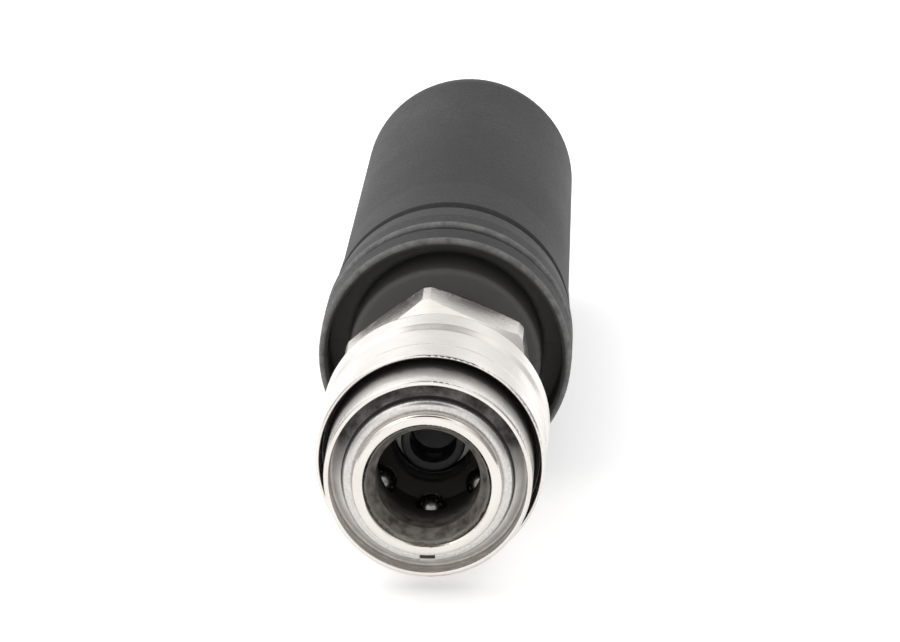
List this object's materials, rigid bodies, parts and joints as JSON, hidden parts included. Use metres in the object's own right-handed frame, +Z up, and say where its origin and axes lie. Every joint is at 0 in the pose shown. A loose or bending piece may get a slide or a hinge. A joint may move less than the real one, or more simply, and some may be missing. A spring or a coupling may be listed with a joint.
{
  "type": "quick disconnect coupler",
  "caption": "Sprung-sleeve quick disconnect air coupler with locking balls and a shut-off valve, on a crimped hose tail inside a rubber boot.",
  "frame": {"origin": "on the axis, at the face of the hose tail that the cut end of the hose butts against", "axes": "+Y along the axis towards the hose, -Y out of the plug mouth, +Z up as the coupler lies"},
  "size_m": [0.0268, 0.1005, 0.0268],
  "materials": {
    "body_nickel": "nickel plate, turned",
    "sleeve_nickel": "nickel plate, satin",
    "hex_nickel": "nickel plate, machined",
    "spring_steel": "drawn wire",
    "steel": "zinc plate",
    "ball_steel": "ground and polished",
    "valve_plastic": "moulded, dull",
    "brass": "turned",
    "ferrule_zinc": "zinc plate, crimped",
    "seal_rubber": "matte",
    "boot_rubber": "moulded, matte"
  },
  "bodies": {
    "coupler": {"socket_body": "body_nickel", "sleeve_retaining_ring": "spring_steel", "sleeve_spring": "spring_steel", "plug_seal": "seal_rubber", "valve_spring": "spring_steel", "valve_guide": "brass", "body_gasket": "seal_rubber", "hose_adapter": "hex_nickel", "crimp_ferrule": "ferrule_zinc", "rubber_boot": "boot_rubber"},
    "sleeve_carrier": {"thrust_washer": "steel"},
    "sleeve": {"sliding_sleeve": "sleeve_nickel"},
    "valve": {"valve_poppet": "valve_plastic", "valve_seal": "seal_rubber", "seal_retainer": "steel"},
    "locking_ball_1_body": {"locking_ball_1": "ball_steel"},
    "locking_ball_2_body": {"locking_ball_2": "ball_steel"},
    "locking_ball_3_body": {"locking_ball_3": "ball_steel"},
    "locking_ball_4_body": {"locking_ball_4": "ball_steel"},
    "locking_ball_5_body": {"locking_ball_5": "ball_steel"},
    "locking_ball_6_body": {"locking_ball_6": "ball_steel"}
  },
  "joints": [
    {"name": "sleeve_slide", "type": "slide", "parent": "coupler", "child": "sleeve_carrier", "axis": [0, 1, 0], "range_m": [0, 0.0036], "stiffness_N_per_m": 900, "springref_m": -0.004, "deforming": ["sleeve_spring"]},
    {"name": "sleeve_spin", "type": "hinge", "parent": "sleeve_carrier", "child": "sleeve", "pos_m": [0, -0.034, 0], "axis": [0, 1, 0], "continuous": true},
    {"name": "valve_slide", "type": "slide", "parent": "coupler", "child": "valve", "axis": [0, 1, 0], "range_m": [0, 0.0035], "stiffness_N_per_m": 700, "springref_m": -0.003, "deforming": ["valve_spring"]},
    {"name": "locking_ball_1_lift", "type": "slide", "parent": "coupler", "child": "locking_ball_1_body", "axis": [0, 0, 1], "range_m": [0, 0.00096]},
    {"name": "locking_ball_2_lift", "type": "slide", "parent": "coupler", "child": "locking_ball_2_body", "axis": [0.866, 0, 0.5], "range_m": [0, 0.00096]},
    {"name": "locking_ball_3_lift", "type": "slide", "parent": "coupler", "child": "locking_ball_3_body", "axis": [0.866, 0, -0.5], "range_m": [0, 0.00096]},
    {"name": "locking_ball_4_lift", "type": "slide", "parent": "coupler", "child": "locking_ball_4_body", "axis": [0, 0, -1], "range_m": [0, 0.00096]},
    {"name": "locking_ball_5_lift", "type": "slide", "parent": "coupler", "child": "locking_ball_5_body", "axis": [-0.866, 0, -0.5], "range_m": [0, 0.00096]},
    {"name": "locking_ball_6_lift", "type": "slide", "parent": "coupler", "child": "locking_ball_6_body", "axis": [-0.866, 0, 0.5], "range_m": [0, 0.00096]}
  ],
  "couplings": [
    {"joint": "locking_ball_1_lift", "follows": "sleeve_slide", "ratio": 0.26389},
    {"joint": "locking_ball_2_lift", "follows": "sleeve_slide", "ratio": 0.26389},
    {"joint": "locking_ball_3_lift", "follows": "sleeve_slide", "ratio": 0.26389},
    {"joint": "locking_ball_4_lift", "follows": "sleeve_slide", "ratio": 0.26389},
    {"joint": "locking_ball_5_lift", "follows": "sleeve_slide", "ratio": 0.26389},
    {"joint": "locking_ball_6_lift", "follows": "sleeve_slide", "ratio": 0.26389}
  ]
}
